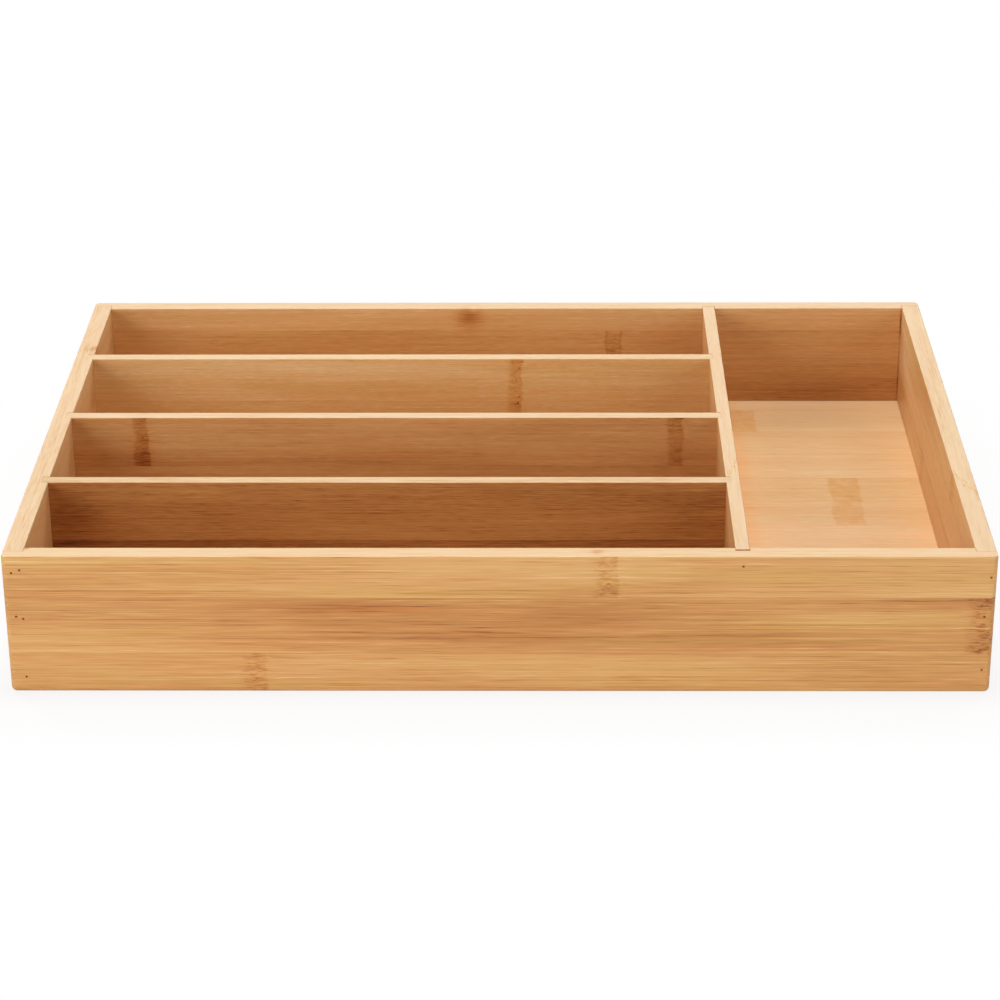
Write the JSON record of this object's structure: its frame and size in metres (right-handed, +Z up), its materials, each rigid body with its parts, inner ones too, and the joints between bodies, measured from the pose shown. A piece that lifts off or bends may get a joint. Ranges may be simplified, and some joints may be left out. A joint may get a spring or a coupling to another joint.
{
  "type": "cutlery tray",
  "caption": "Rectangular bamboo cutlery tray: narrow compartments side by side on the left, a wide compartment front to back on the right, open on top.",
  "frame": {"origin": "the middle of the tray's footprint, on the surface that it stands on", "axes": "+X to the right, towards the wide compartment; +Y from the front wall to the back wall; +Z up"},
  "size_m": [0.355, 0.25, 0.055],
  "materials": {
    "bamboo_wall": "satin clear lacquer on carbonised bamboo strips",
    "bamboo_divider": "satin clear lacquer on carbonised bamboo strips",
    "bamboo_base": "satin clear lacquer on wide bamboo strips",
    "pin_steel": "dull, dark in its hole"
  },
  "bodies": {
    "root": {"front_wall": "bamboo_wall", "back_wall": "bamboo_wall", "left_wall": "bamboo_wall", "right_wall": "bamboo_wall", "long_divider": "bamboo_divider", "cross_divider_front": "bamboo_divider", "cross_divider_middle": "bamboo_divider", "cross_divider_rear": "bamboo_divider", "base_panel": "bamboo_base", "pins_front_left": "pin_steel", "pins_front_right": "pin_steel", "pins_back_left": "pin_steel", "pins_back_right": "pin_steel", "pin_divider_front": "pin_steel", "pin_divider_back": "pin_steel"}
  },
  "joints": []
}
